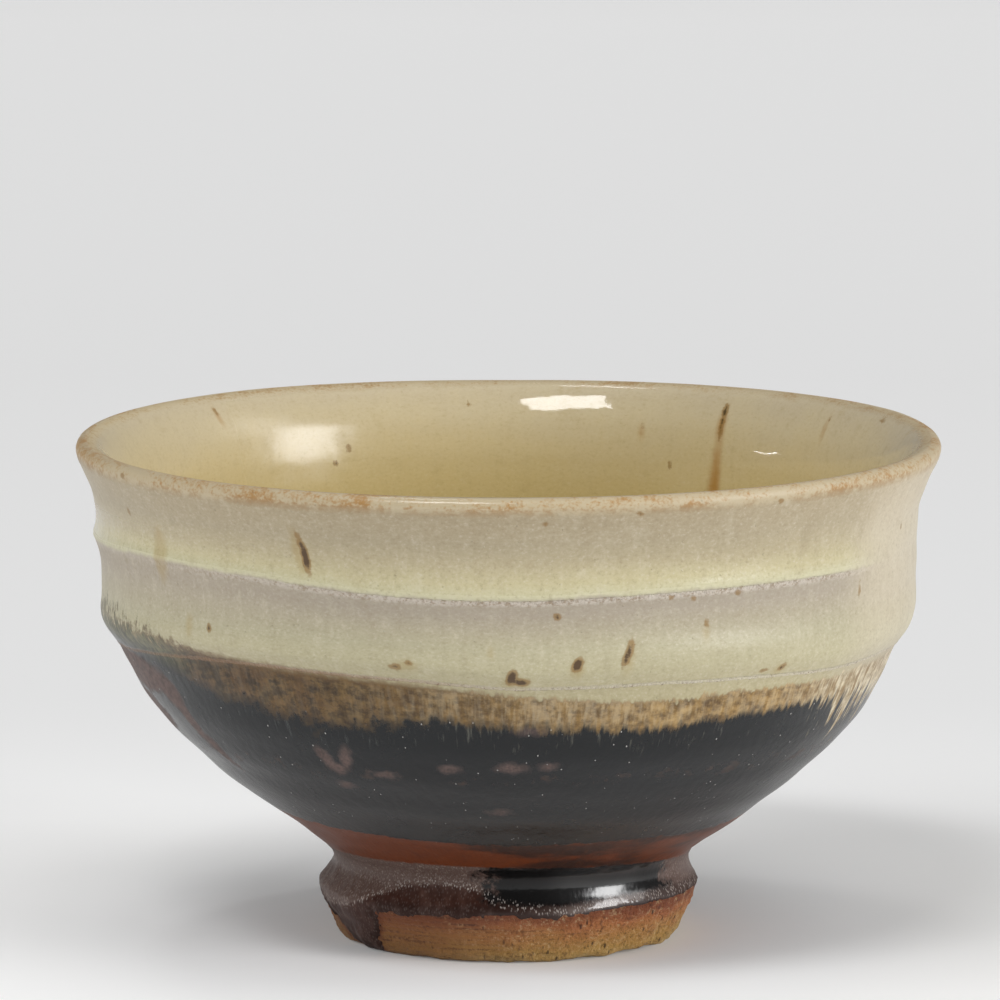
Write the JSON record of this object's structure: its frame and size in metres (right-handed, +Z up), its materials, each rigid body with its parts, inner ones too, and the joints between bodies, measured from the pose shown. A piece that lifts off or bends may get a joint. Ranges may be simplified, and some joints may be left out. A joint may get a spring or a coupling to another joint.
{
  "type": "matcha bowl",
  "caption": "Hand-thrown stoneware tea bowl for whisked green tea, with a flared lip, a sharp waist crease and a tall foot ring.",
  "frame": {"origin": "middle of the foot ring's resting face, on the surface that the bowl stands on", "axes": "+Z up the bowl's own axis, out of its mouth; -Y towards the side that carries the longest drips; +X to the right of that side"},
  "size_m": [0.122, 0.122, 0.071],
  "materials": {
    "stoneware_clay": "rough, groggy bare stoneware, orange-tan",
    "ash_glaze_inside": "glossy olive-amber ash glaze, with brown iron drips and flecks",
    "ash_glaze_outside": "satin cream and tan ash glaze, streaked down, glossy yellow-green above the ridge",
    "iron_glaze": "satin black iron glaze, breaking to streaked amber-brown at its upper edge and to rust at the foot"
  },
  "bodies": {
    "root": {"clay_bowl": "stoneware_clay", "foot_ring": "stoneware_clay", "ash_glaze_liner": "ash_glaze_inside", "ash_glaze_outside": "ash_glaze_outside", "iron_glaze_outside": "iron_glaze"}
  },
  "joints": []
}
